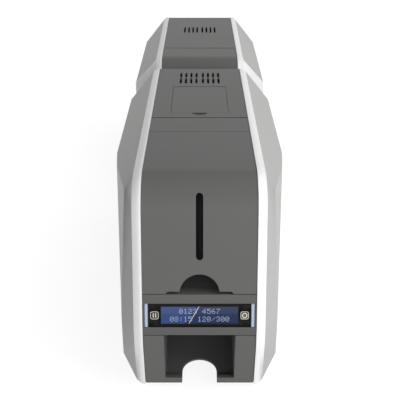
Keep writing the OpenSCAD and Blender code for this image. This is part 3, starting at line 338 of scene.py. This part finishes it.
# Each light bar is lightest in the middle of its width
LIGHT = by_place("light_bar_blue_grey", "X", (0.0460, 0.0471),
                 (srgb(144, 158, 180), srgb(196, 206, 222), srgb(152, 168, 194)),
                 (0.3, 0.3, 0.3), (0.0, 0.0, 0.0))

LOOKS = {
    "output_tray": DARK_TRAY, "printer_base": BLACK, "rubber_feet": FEET,
    "printer_side_left": SILVER, "printer_side_right": SILVER,
    "printer_band_left": WHITE, "printer_band_right": WHITE, "top_cover": DARK,
    "card_window": SLOT_BLACK, "printer_rear_cover": DARK, "service_hatch": DARK,
    "display_bezel": DARK_BAR, "display_panel": PANEL, "lcd_screen": LCD, "light_bars": LIGHT,
    "pause_key": KEY, "cancel_key": KEY, "side_frame_left": STEEL, "side_frame_right": STEEL,
    "card_hopper": HOPPER, "card_weight": WEIGHT, "pick_roller": PICK,
    "cleaning_roller": CLEAN, "platen_roller": PLATEN, "transport_roller_1": TRANSPORT,
    "transport_roller_2": TRANSPORT, "printhead_carrier": STEEL, "thermal_printhead": CERAMIC,
    "ribbon_cassette": CASSETTE, "supply_spool": SPOOL, "supply_ribbon": RIBBON,
    "takeup_spool": SPOOL, "takeup_ribbon": RIBBON_END, "ribbon_film": RIBBON,
    "drive_motor": MOTOR, "motor_pulley": ALU, "drive_belt": BELT, "main_board": PCB,
    "fan_frame": BLACK, "fan_rotor": BLACK, "laminator_base": BLACK,
    "laminator_side_left": SILVER, "laminator_side_right": SILVER,
    "laminator_band_left": WHITE, "laminator_band_right": WHITE, "laminator_cover": DARK,
    "laminator_front_panel": DARK, "laminator_rear_cover": DARK, "laminator_frames": STEEL,
    "heat_roller": HOT, "pressure_roller": PRESS, "film_supply_roll": FILM,
    "film_takeup_roll": FILM, "exit_roller": TRANSPORT, "laminator_motor": MOTOR,
    "power_supply": STEEL, "power_inlet": BLACK, "power_switch": BLACK, "data_ports": CHROME,
}

# Width of the rounded edges of the solids, in millimetres, and the number of steps
ROUND = {
    "printer_side_left": (1.6, 3), "printer_side_right": (1.6, 3),
    "laminator_side_left": (1.6, 3), "laminator_side_right": (1.6, 3),
    "printer_band_left": (0.9, 3), "printer_band_right": (0.9, 3),
    "laminator_band_left": (0.9, 3), "laminator_band_right": (0.9, 3),
    "top_cover": (0.35, 2), "printer_rear_cover": (0.3, 2), "service_hatch": (0.3, 2),
    "display_bezel": (0.2, 2), "output_tray": (0.5, 2), "laminator_cover": (0.35, 2),
    "laminator_front_panel": (0.35, 2), "laminator_rear_cover": (0.35, 2),
    "pause_key": (0.3, 2), "cancel_key": (0.3, 2), "light_bars": (0.3, 2),
    "rubber_feet": (0.4, 2), "power_switch": (0.4, 2), "card_hopper": (0.3, 2),
    "ribbon_cassette": (0.3, 2), "card_weight": (0.4, 2), "power_supply": (0.5, 2),
    "power_inlet": (0.3, 1), "data_ports": (0.25, 1),
}


def bevel_angle(node):
    """The least angle between two faces, in degrees, whose edge is rounded."""
    if "side" in node:
        return 12
    if "band" in node:
        return 45
    return 30


def dress(node, mat):
    ob = bpy.data.objects[node]
    ob.data.materials.clear()
    ob.data.materials.append(mat)
    weld = ob.modifiers.new("weld", "WELD")
    weld.merge_threshold = 1e-6
    if node in ROUND:
        flat = ob.modifiers.new("planar", "DECIMATE")
        flat.decimate_type = "DISSOLVE"
        flat.angle_limit = math.radians(0.4)
        width, steps = ROUND[node]
        bev = ob.modifiers.new("bevel", "BEVEL")
        bev.width = width * MM
        bev.segments = steps
        bev.limit_method = "ANGLE"
        bev.angle_limit = math.radians(bevel_angle(node))
        bev.use_clamp_overlap = True
        bev.harden_normals = True
    for p in ob.data.polygons:
        p.use_smooth = True
    smooth = ob.modifiers.new("smooth", "WEIGHTED_NORMAL")
    smooth.keep_sharp = True
    if "band" in node:
        smooth.weight = 3


for node, mat in LOOKS.items():
    dress(node, mat)


# ---------------------------------------------------------------- pieces on the leaning face

def on_face(x, up, depth):
    """A point near the leaning face, in millimetres from the middle of the display panel.

    x is across, up along the face and depth into the body.
    """
    back = (DISPLAY_Z - NOSE_Z) * math.tan(LEAN)
    return Vector((x * MM,
                   NOSE_Y + back + up * MM * math.sin(LEAN) + depth * MM * math.cos(LEAN),
                   DISPLAY_Z + up * MM * math.cos(LEAN) - depth * MM * math.sin(LEAN)))


def prism(bm, outline, d0, d1, inner=None, place=on_face):
    """Adds the solid between two depths of a face under an outline, or under a ring."""
    rims = []
    for pts in [outline] + ([inner] if inner else []):
        rims.append([[bm.verts.new(place(x, u, d)) for x, u in pts] for d in (d0, d1)])
    n = len(outline)
    for (front, back), flip in zip(rims, (False, True)):
        for i in range(n):
            j = (i + 1) % n
            q = [front[i], back[i], back[j], front[j]]
            bm.faces.new(q[::-1] if flip else q)
    if inner:
        for side in (0, 1):
            for i in range(n):
                j = (i + 1) % n
                q = [rims[0][side][i], rims[0][side][j], rims[1][side][j], rims[1][side][i]]
                bm.faces.new(q if side == 0 else q[::-1])
    else:
        bm.faces.new(rims[0][0])
        bm.faces.new(rims[0][1][::-1])


def finish_piece(bm, name, mat, body, bevel=0.0):
    bmesh.ops.recalc_face_normals(bm, faces=bm.faces)
    me = bpy.data.meshes.new(name)
    bm.to_mesh(me)
    bm.free()
    ob = bpy.data.objects.new(name, me)
    bpy.context.scene.collection.objects.link(ob)
    me.materials.append(mat)
    if bevel:
        bev = ob.modifiers.new("bevel", "BEVEL")
        bev.width = bevel * MM
        bev.segments = 2
        bev.limit_method = "ANGLE"
        bev.angle_limit = math.radians(35)
    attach(ob, body)


def rounded_rect(cx, cy, w, h, r, steps=5):
    pts = []
    for sx, sy, a0 in ((1, 1, 0), (-1, 1, 90), (-1, -1, 180), (1, -1, 270)):
        for k in range(steps + 1):
            a = math.radians(a0 + 90 * k / steps)
            pts.append((cx + sx * (w / 2 - r) + r * math.cos(a),
                        cy + sy * (h / 2 - r) + r * math.sin(a)))
    return pts


def circle(cx, cy, r, n=28):
    return [(cx + r * math.cos(2 * math.pi * k / n), cy + r * math.sin(2 * math.pi * k / n))
            for k in range(n)]


# The screen shows plain counters in a 5 by 7 dot grid
DOTS = {
    "0": "01110 10001 10011 10101 11001 10001 01110", "1": "00100 01100 00100 00100 00100 00100 01110",
    "2": "01110 10001 00001 00110 01000 10000 11111", "3": "01110 10001 00001 00110 00001 10001 01110",
    "4": "00010 00110 01010 10010 11111 00010 00010", "5": "11111 10000 11110 00001 00001 10001 01110",
    "6": "00110 01000 10000 11110 10001 10001 01110", "7": "11111 00001 00010 00100 01000 01000 01000",
    "8": "01110 10001 10001 01110 10001 10001 01110", "9": "01110 10001 10001 01111 00001 00010 01100",
    ":": "00000 00100 00100 00000 00100 00100 00000", "/": "00000 00001 00010 00100 01000 10000 00000",
}
DOT, GAP = 0.56, 0.66             # size and pitch of a dot, mm
CHAR_PITCH = 4.05                 # pitch of the characters
LCD_FACE = 1.2                    # depth of the screen's face
LINE_UP = 3.6                     # middle of a line of characters from the middle of the screen
PRINT = 0.06                      # thickness of the characters and of the keys' symbols
GLARE_THICK = 0.05
GLARE_OUTLINE = [(-9.6, -7.8), (-8.9, -7.8), (-0.1, 7.8), (-0.9, 7.8)]


def lcd_line(bm, text, middle_up):
    x0 = -CHAR_PITCH * (len(text) - 1) / 2
    for i, ch in enumerate(text):
        if ch not in DOTS:
            continue
        for row, bits in enumerate(DOTS[ch].split()):
            for col, bit in enumerate(bits):
                if bit == "1":
                    x = x0 + i * CHAR_PITCH + (col - 2) * GAP
                    u = middle_up + (3 - row) * GAP
                    h = DOT / 2
                    prism(bm, [(x - h, u - h), (x + h, u - h), (x + h, u + h), (x - h, u + h)],
                          LCD_FACE - PRINT, LCD_FACE)


bm = bmesh.new()
lcd_line(bm, "0123 4567", LINE_UP)
lcd_line(bm, "08:15 120/300", -LINE_UP)
finish_piece(bm, "lcd_characters", GLYPH, "housing")

# The slanting edge of the reflection on the screen, painted as a thin light strip
bm = bmesh.new()
prism(bm, GLARE_OUTLINE, LCD_FACE - GLARE_THICK, LCD_FACE)
finish_piece(bm, "lcd_glare", GLARE, "housing")

# Symbols on the two keys: pause bars, and a ring round a dot
KEY_X = middle("cancel_key").x / MM
KEY_FACE = 0.6                    # depth of the keys' faces
KEY_FRAME = (7.2, 7.2, 1.7)       # width, height and corner radius of the frame round a symbol
KEY_FRAME_HOLE = (6.1, 6.1, 1.3)
PAUSE_BAR = (1.0, 4.2, 0.4)
PAUSE_BAR_X = 1.05                # middle of a bar from the middle of the key
RING_R, RING_HOLE_R, DOT_R = 2.5, 1.35, 0.3
RING_UP = -0.1


def pause_bars(bm, x):
    for side in BOTH_SIDES:
        prism(bm, rounded_rect(x + side * PAUSE_BAR_X, 0, *PAUSE_BAR), KEY_FACE - PRINT, KEY_FACE)


def ring_and_dot(bm, x):
    prism(bm, circle(x, RING_UP, RING_R), KEY_FACE - PRINT, KEY_FACE, circle(x, RING_UP, RING_HOLE_R))
    prism(bm, circle(x, RING_UP, DOT_R, 12), KEY_FACE - PRINT, KEY_FACE)


for side, body, symbol in ((-1, "pause", pause_bars), (1, "cancel", ring_and_dot)):
    bm = bmesh.new()
    prism(bm, rounded_rect(side * KEY_X, 0, *KEY_FRAME), KEY_FACE - PRINT, KEY_FACE,
          rounded_rect(side * KEY_X, 0, *KEY_FRAME_HOLE))
    symbol(bm, side * KEY_X)
    finish_piece(bm, body + "_symbol", ICON, body)


# ---------------------------------------------------------------- screws

HEAD_R = 2.6                      # screw head, mm
HEAD_H = 0.7
RECESS_DEPTH = 0.5
HEAD_SIDES = 24
# the crown's profile, as shares of the head's radius and height
CROWN = ((1, 0), (1, 0.45), (0.82, 0.85), (0.55, 1))
# radius of the cross recess as a share of the head's: at an arm, halfway between two, elsewhere
ARM, NOTCH, FLANK = 0.46, 0.2, 0.26


def screw(bm, at, normal):
    """A pan-head screw with a cross recess; its head stands on a surface."""
    n = Vector(normal)
    side = n.orthogonal().normalized()
    other = n.cross(side)

    def point(k, radius, height):
        """The k-th point of a ring round the screw's axis; radius and height in millimetres."""
        a = 2 * math.pi * k / HEAD_SIDES
        out = side * math.cos(a) + other * math.sin(a)
        return bm.verts.new(Vector(at) + n * height * MM + out * radius * MM)

    rings = [[point(k, HEAD_R * share, HEAD_H * up) for k in range(HEAD_SIDES)] for share, up in CROWN]
    star = [point(k, HEAD_R * {0: ARM, 3: NOTCH}.get(k % 6, FLANK), HEAD_H) for k in range(HEAD_SIDES)]
    floor_ring = [bm.verts.new(v.co - n * RECESS_DEPTH * MM) for v in star]
    rings += [star, floor_ring]
    for a, b in zip(rings, rings[1:]):
        for k in range(HEAD_SIDES):
            j = (k + 1) % HEAD_SIDES
            bm.faces.new((a[k], a[j], b[j], b[k]))
    bm.faces.new(rings[0][::-1])
    bm.faces.new(floor_ring)


def screws(name, places, normal):
    bm = bmesh.new()
    for p in places:
        screw(bm, p, normal)
    finish_piece(bm, name, STEEL, "housing")


REAR_SCREW_X = 0.042
REAR_SCREW_Z = (0.062, 0.186)
UNDER_SCREW_X = 0.036
UNDER_SCREW_Y = (-0.24, -0.05, 0.12, 0.29)
under_z = corners("printer_base")[0].z
screws("rear_screws", [(side * REAR_SCREW_X, REAR_Y, z) for side in BOTH_SIDES for z in REAR_SCREW_Z],
       (0, 1, 0))
screws("underside_screws", [(side * UNDER_SCREW_X, y, under_z) for side in BOTH_SIDES
                            for y in UNDER_SCREW_Y], (0, 0, -1))


# ---------------------------------------------------------------- rear sockets and mains switch

def strip(bm, points, width, thick, side=Vector((1, 0, 0))):
    """A bent strip of metal through the points (metres); width runs along side."""
    rings = []
    for i, p in enumerate(points):
        a = points[max(i - 1, 0)]
        b = points[min(i + 1, len(points) - 1)]
        up = (Vector(b) - Vector(a)).normalized().cross(side) * thick / 2
        w = side * width / 2
        rings.append([bm.verts.new(Vector(p) + q) for q in (up + w, up - w, -up - w, -up + w)])
    for a, b in zip(rings, rings[1:]):
        for k in range(4):
            j = (k + 1) % 4
            bm.faces.new((a[k], a[j], b[j], b[k]))
    bm.faces.new(rings[0][::-1])
    bm.faces.new(rings[-1])


PORT_Z = middle("power_inlet").z
SQUARE_X = corners("data_ports")[0].x + 0.0063      # middle of the square socket
WIDE_X = corners("data_ports")[1].x - 0.0050        # middle of the wide socket
SQUARE_Z = PORT_Z - 0.0005                          # the square socket sits a little low
SOCKET_BACK = REAR_Y - 0.0150                       # where the contacts begin, inside a socket
WIDE_CONTACTS = 8
WIDE_PITCH = 0.00076
SQUARE_PITCH = 0.0025             # across, between the two columns of the square socket
SQUARE_ROW = 0.0015               # from the tongue's middle up or down to a row of contacts
TONGUE_W, TONGUE_T = 0.0052, 0.0022


def wide_contact(bm, x):
    """A sprung contact of the wide socket: it runs out along the floor, then folds back and rises."""
    route = ((SOCKET_BACK, -0.0070), (REAR_Y - 0.0050, -0.0066), (REAR_Y - 0.0105, -0.0022),
             (SOCKET_BACK, -0.0010))
    strip(bm, [(x, y, PORT_Z + z) for y, z in route], 0.00036, 0.00025)


def square_contact(bm, x, z):
    strip(bm, [(x, SOCKET_BACK, z), (x, REAR_Y - 0.0040, z)], 0.0011, 0.0003)


bm = bmesh.new()
for k in range(WIDE_CONTACTS):
    wide_contact(bm, WIDE_X + (k - (WIDE_CONTACTS - 1) / 2) * WIDE_PITCH)
for side in BOTH_SIDES:
    for row in BOTH_SIDES:
        square_contact(bm, SQUARE_X + side * SQUARE_PITCH / 2, SQUARE_Z + row * SQUARE_ROW)
finish_piece(bm, "socket_contacts", GOLD, "housing")

bm = bmesh.new()                  # tongue inside the square socket
strip(bm, [(SQUARE_X, REAR_Y - 0.0045, SQUARE_Z), (SQUARE_X, REAR_Y - 0.0152, SQUARE_Z)],
      TONGUE_W, TONGUE_T)
finish_piece(bm, "socket_tongue", SPOOL, "housing", 0.25)

# Stroke and ring on the two halves of the rocker, which rests with its upper half out
ROCKER = Vector((middle("power_switch").x, REAR_Y - 0.0062, PORT_Z))        # middle of its pins
TILT = math.radians(8)
VALLEY = 4.8                      # from the pins out to the middle of the rocker's face, mm
SLOPE = math.atan2(1.2, 7.0)      # of each half of the face, which rises towards its end
MARK_OUT, MARK_IN = 0.03, -0.1    # the marks' front and back, from the face


def on_rocker(half, x, along, lift):
    """A point on the rocker's face in mm: half +1 up or -1 down, along from the middle to its end."""
    out = VALLEY + along * math.sin(SLOPE) + lift * math.cos(SLOPE)
    up = half * (along * math.cos(SLOPE) - lift * math.sin(SLOPE))
    return ROCKER + Vector((x, out * math.cos(TILT) + up * math.sin(TILT),
                            -out * math.sin(TILT) + up * math.cos(TILT))) * MM


STROKE = [(-0.35, 1.7), (0.35, 1.7), (0.35, 4.9), (-0.35, 4.9)]
bm = bmesh.new()
prism(bm, STROKE, MARK_OUT, MARK_IN, place=partial(on_rocker, 1))
prism(bm, circle(0, 3.3, 1.7, 24), MARK_OUT, MARK_IN, circle(0, 3.3, 1.15, 24), partial(on_rocker, -1))
finish_piece(bm, "rocker_marks", ICON, "mains_rocker")


# ---------------------------------------------------------------- screws and chip legs inside

MOTOR_HOLE = 0.0155               # from a motor's shaft to its screws, along Y and along Z
FAN_HOLE = 0.016                  # from the fan's middle to its screws, along X and along Y

places = []
for motor, plate in (("drive_motor", "side_frame_left"), ("laminator_motor", "laminator_frames")):
    outside = corners(plate)[0].x
    shaft = middle(motor)
    for dy in (-MOTOR_HOLE, MOTOR_HOLE):
        for dz in (-MOTOR_HOLE, MOTOR_HOLE):
            places.append((outside, shaft.y + dy, shaft.z + dz))
screws("motor_screws", places, (-1, 0, 0))

fan = middle("fan_frame")
fan_z = corners("fan_frame")[0].z
screws("fan_screws", [(fan.x + dx, fan.y + dy, fan_z) for dx in (-FAN_HOLE, FAN_HOLE)
                      for dy in (-FAN_HOLE, FAN_HOLE)], (0, 0, -1))

BOARD_INSET = 0.005               # of its screws from its edges
CHIPS = 3
CHIP_UP = 0.051                   # middle of a chip above the board's lower edge
FIRST_CHIP = 0.031                # middle of the first chip behind the board's front edge
CHIP_PITCH = 0.040
LEGS = 9                          # on each side of a chip
LEG_PITCH = 0.0022
LEG_FROM = 0.0109                 # a leg starts just inside the chip's side
LEG_RISE = 0.0013                 # a leg leaves the chip this far above the board

board_low, board_high = corners("main_board")
screws("board_screws", [(BOARD_X, y, z) for y in (board_low.y + BOARD_INSET, board_high.y - BOARD_INSET)
                        for z in (board_low.z + BOARD_INSET, board_high.z - BOARD_INSET)], (1, 0, 0))


def leg(bm, root, out, along):
    """A flat leg that leaves the chip, bends down to the board and ends in a foot."""
    down = Vector((-1, 0, 0))
    strip(bm, [root, root + out * 0.0008, root + out * 0.0011 + down * 0.0011,
               root + out * 0.0020 + down * 0.0012], 0.0009, 0.0002, along)


bm = bmesh.new()
for k in range(CHIPS):
    chip = Vector((BOARD_X + LEG_RISE, board_low.y + FIRST_CHIP + CHIP_PITCH * k,
                   board_low.z + CHIP_UP))
    for turn in range(4):
        a = math.radians(90 * turn)
        out = Vector((0, math.cos(a), math.sin(a)))
        along = Vector((0, -math.sin(a), math.cos(a)))
        for i in range(LEGS):
            leg(bm, chip + out * LEG_FROM + along * (i - (LEGS - 1) / 2) * LEG_PITCH, out, along)
finish_piece(bm, "chip_legs", STEEL, "housing")


# ---------------------------------------------------------------- backdrop, light, camera

LAMP_SIZE = 1.5
AIM = Vector((0, 0, 0.1))         # about the middle of the machine


def lamp(name, place, power):
    """A square soft lamp that faces the machine."""
    light = bpy.data.lights.new(name, "AREA")
    light.energy = power
    light.size = LAMP_SIZE
    ob = bpy.data.objects.new(name, light)
    bpy.context.scene.collection.objects.link(ob)
    ob.location = place
    ob.rotation_euler = (AIM - Vector(place)).to_track_quat("-Z", "Y").to_euler()
    return ob


def seen(tree):
    """1 for a ray from the camera, or one that gloss or glass sends on, and 0 for diffuse light."""
    path = tree.nodes.new("ShaderNodeLightPath")
    value = path.outputs["Is Camera Ray"]
    for name in ("Is Glossy Ray", "Is Transmission Ray"):
        larger = tree.nodes.new("ShaderNodeMath")
        larger.operation = "MAXIMUM"
        tree.links.new(value, larger.inputs[0])
        tree.links.new(path.outputs[name], larger.inputs[1])
        value = larger.outputs[0]
    return value


def world_light(strength):
    """Soft light from all round, with a plain white background behind the object."""
    world = bpy.data.worlds.new("studio")
    bpy.context.scene.world = world
    world.use_nodes = True
    tree = world.node_tree
    tree.nodes.clear()
    out = tree.nodes.new("ShaderNodeOutputWorld")
    mix = tree.nodes.new("ShaderNodeMixShader")
    tree.links.new(seen(tree), mix.inputs[0])
    for socket, color, power in ((1, (1.0, 0.995, 0.985, 1), strength), (2, (1, 1, 1, 1), 1.0)):
        part = tree.nodes.new("ShaderNodeBackground")
        part.inputs["Color"].default_value = color
        part.inputs["Strength"].default_value = power
        tree.links.new(part.outputs[0], mix.inputs[socket])
    tree.links.new(mix.outputs[0], out.inputs[0])


def floor(size, albedo, glow, catch):
    """A pale floor: it lights the object as plain matt white and shows only a faint shadow."""
    bm = bmesh.new()
    bmesh.ops.create_grid(bm, x_segments=8, y_segments=8, size=size / 2)
    me = bpy.data.meshes.new("floor")
    bm.to_mesh(me)
    bm.free()
    ob = bpy.data.objects.new("floor", me)
    bpy.context.scene.collection.objects.link(ob)
    mat = bpy.data.materials.new("floor_white")
    mat.use_nodes = True
    tree = mat.node_tree
    tree.nodes.clear()
    out = tree.nodes.new("ShaderNodeOutputMaterial")
    matt = tree.nodes.new("ShaderNodeBsdfDiffuse")
    matt.inputs["Color"].default_value = (albedo, albedo, albedo, 1)
    shadow = tree.nodes.new("ShaderNodeBsdfDiffuse")
    shadow.inputs["Color"].default_value = (catch, catch, catch, 1)
    white = tree.nodes.new("ShaderNodeEmission")
    white.inputs["Strength"].default_value = glow
    both = tree.nodes.new("ShaderNodeAddShader")
    mix = tree.nodes.new("ShaderNodeMixShader")
    tree.links.new(shadow.outputs[0], both.inputs[0])
    tree.links.new(white.outputs[0], both.inputs[1])
    tree.links.new(seen(tree), mix.inputs[0])
    tree.links.new(matt.outputs[0], mix.inputs[1])
    tree.links.new(both.outputs[0], mix.inputs[2])
    tree.links.new(mix.outputs[0], out.inputs[0])
    me.materials.append(mat)


floor(size=8.0, albedo=0.8, glow=0.86, catch=0.35)
world_light(strength=0.04)
# Powers in watts; those of the first five come from a fit to the photo's levels
lamp("key_right", (1.6, -0.9, 1.8), 14.9)
lamp("overhead_right", (0.9, 0, 2.0), 13.5)
lamp("front_right", (1.3, -1.7, 0.4), 17.7)
lamp("front", (0, -2.4, 0.5), 20.1)
lamp("low_left", (-1.9, -0.9, 0.15), 4.2)
# the two lamps behind light the back softly and leave no shine on the top
lamp("behind", (0, 2.4, 0.5), 14).visible_glossy = False
lamp("behind_left", (-1.3, 1.7, 0.4), 6).visible_glossy = False

LOOK_DOWN = math.radians(25.45)   # of the camera, from level
cam = bpy.data.cameras.new("camera")
cam.lens = 67.5
cam.sensor_width = 36.0
cam_ob = bpy.data.objects.new("camera", cam)
bpy.context.scene.collection.objects.link(cam_ob)
cam_ob.location = (0.0004, -0.889, 0.4567)
cam_ob.rotation_euler = (math.radians(90) - LOOK_DOWN, 0, 0)
bpy.context.scene.camera = cam_ob
bpy.context.scene.view_settings.view_transform = "Standard"
